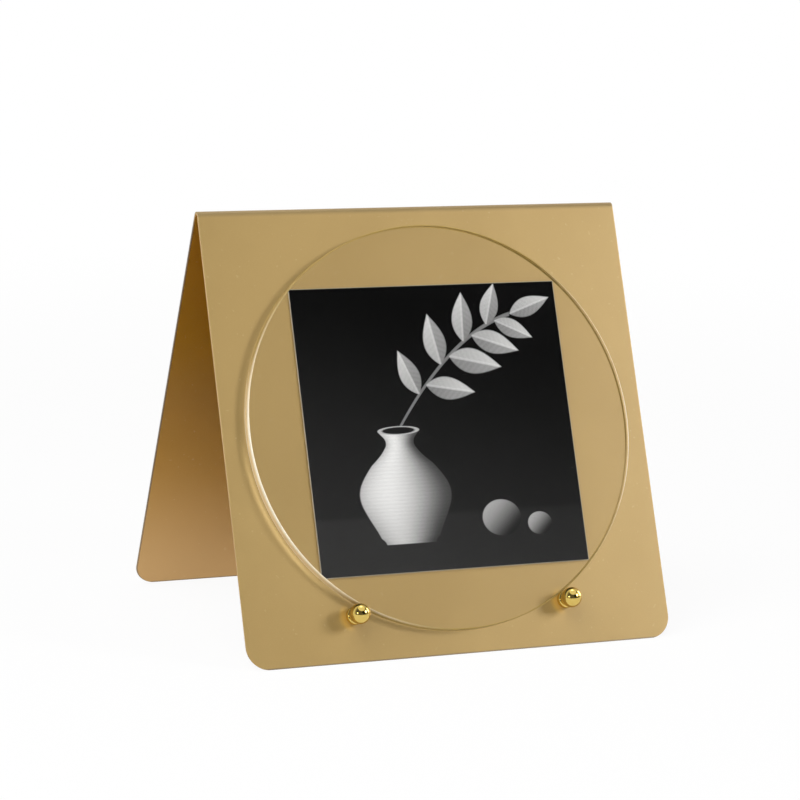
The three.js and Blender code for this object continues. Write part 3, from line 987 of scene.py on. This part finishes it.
def studio_room():
    """White where the camera sees it. Mirrors and glass see the same white, but for the dark side, and
    matt surfaces get a plain level of light from all round."""
    world = bpy.data.worlds.new("studio")
    bpy.context.scene.world = world
    look = Finish(world)
    towards = look.add("ShaderNodeTexCoord", output="Generated")
    facing = {"operation": "DOT_PRODUCT"}
    dark, core = [
        look.add("ShaderNodeVectorMath", facing, [towards, unit(side).tolist()], output="Value")
        for side in (DARK_SIDE, DARK_CORE)
    ]
    room = dark.between(*DARK_RANGE) * core.between(*CORE_RANGE)
    straight = ray_share(look, "Camera")
    mirrored = ray_share(look, "Glossy", "Transmission")
    seen = room * mirrored.between(0, 1, ROOM_LIGHT, ROOM_MIRROR)
    strength = straight + (1 - straight) * seen
    look.end(look.add("ShaderNodeBackground", None, [WHITE, strength]), "ShaderNodeOutputWorld")


# Lamps, in directions from the print's middle
LAMP_DISTANCE = 1.62
GLINT_DISTANCE = 1.6  # in front of the lamps
BALL_GLOW_DISTANCE = 1.5  # in front of the glints
RIGHT_FROM = (0.71, -0.58, 0.40)
LEFT_FROM = (-0.77, -0.58, 0.25)
TOP_FROM = (0.15, 0.1, 0.98)
SIDE_FROM = (-0.506, -0.269, 0.819)
EDGE_FROM = (0.95, 0.1, 0.28)
BALL_GLOW_FROM = (0.1, -0.3, 0.95)
LAMPS = (  # name, direction, metres across and watts: these light matt surfaces
    ("right_lamp", RIGHT_FROM, 0.45, 9.5),
    ("left_lamp", LEFT_FROM, 0.35, 2.6),
    ("top_lamp", TOP_FROM, 0.5, 2),
    ("side_lamp", SIDE_FROM, 1.8, 28.7),
)
GLINTS = (  # the gold's highlights, which the clear cover doesn't mirror
    ("right_glint", RIGHT_FROM, 0.62, 9),
    ("left_glint", LEFT_FROM, 0.35, 2),
    ("top_glint", TOP_FROM, 0.5, 2),
    ("edge_glint", EDGE_FROM, 0.9, 10.5),
)
BALL_GLOWS = (("ball_glow", BALL_GLOW_FROM, 2, 9),)  # a wide soft light that only the balls mirror


def stand_at(point, side, up, back):
    """The place of a lamp or camera at a point, with its three directions."""
    turn = Matrix(np.column_stack([side, up, back]).tolist())
    return Matrix.Translation(point) @ turn.to_4x4()


def soft_lamp(name, distance, towards, size, watts):
    """A round soft lamp at a distance in a direction from the print's middle, facing it."""
    lamp = bpy.data.lights.new(name, "AREA")
    lamp.shape = "DISK"
    lamp.size = size
    lamp.energy = watts
    aim = on_panel(0, cover_height, 0)
    back = unit(towards)
    side = unit(np.cross([0, 0, 1], back))
    holder = bpy.data.objects.new(name, lamp)
    holder.matrix_world = stand_at(aim + distance * back, side, np.cross(back, side), back)
    holder.visible_transmission = False
    bpy.context.scene.collection.objects.link(holder)
    return holder


def receivers(name, pieces, state):
    """The pieces that a lamp shines on alone, or leaves out."""
    chosen = bpy.data.collections.new(name)
    for piece in pieces:
        chosen.objects.link(piece)
    for member in chosen.collection_objects:
        member.light_linking.link_state = state
    return chosen


floor_sheet(floor_finish())
studio_room()
for name, *measures in LAMPS:
    soft_lamp(name, LAMP_DISTANCE, *measures).visible_glossy = False
without_cover = receivers("without_cover", [cover], "EXCLUDE")
only_balls = receivers("only_balls", balls, "INCLUDE")
mirrored_lamps = (
    (without_cover, GLINT_DISTANCE, GLINTS),
    (only_balls, BALL_GLOW_DISTANCE, BALL_GLOWS),
)
for lit, distance, lamps in mirrored_lamps:
    for name, *measures in lamps:
        glint = soft_lamp(name, distance, *measures)
        glint.visible_diffuse = False
        glint.light_linking.receiver_collection = lit

# Camera at the photograph's place: its point, its heading, how far it looks down, and its tilt
CAMERA_AT = (-0.5357, -1.238, 0.3575)
HEADING = math.radians(23.31)
LOOK_DOWN = math.radians(10.92)
TILT = math.radians(1.85)
LENS_MM = 137.75
SENSOR_MM = 36
NEAREST_SEEN = 0.01
forward = np.array([
    math.sin(HEADING) * math.cos(LOOK_DOWN), math.cos(HEADING) * math.cos(LOOK_DOWN), -math.sin(LOOK_DOWN),
])
level_right = unit(np.cross(forward, [0, 0, 1]))
level_up = np.cross(level_right, forward)
right = math.cos(TILT) * level_right + math.sin(TILT) * level_up
up = -math.sin(TILT) * level_right + math.cos(TILT) * level_up
lens = bpy.data.cameras.new("camera")
lens.lens = LENS_MM
lens.sensor_width = SENSOR_MM
lens.clip_start = NEAREST_SEEN
camera = bpy.data.objects.new("camera", lens)
camera.matrix_world = stand_at(CAMERA_AT, right, up, -forward)
bpy.context.scene.collection.objects.link(camera)
bpy.context.scene.camera = camera
bpy.context.scene.view_settings.view_transform = "Standard"
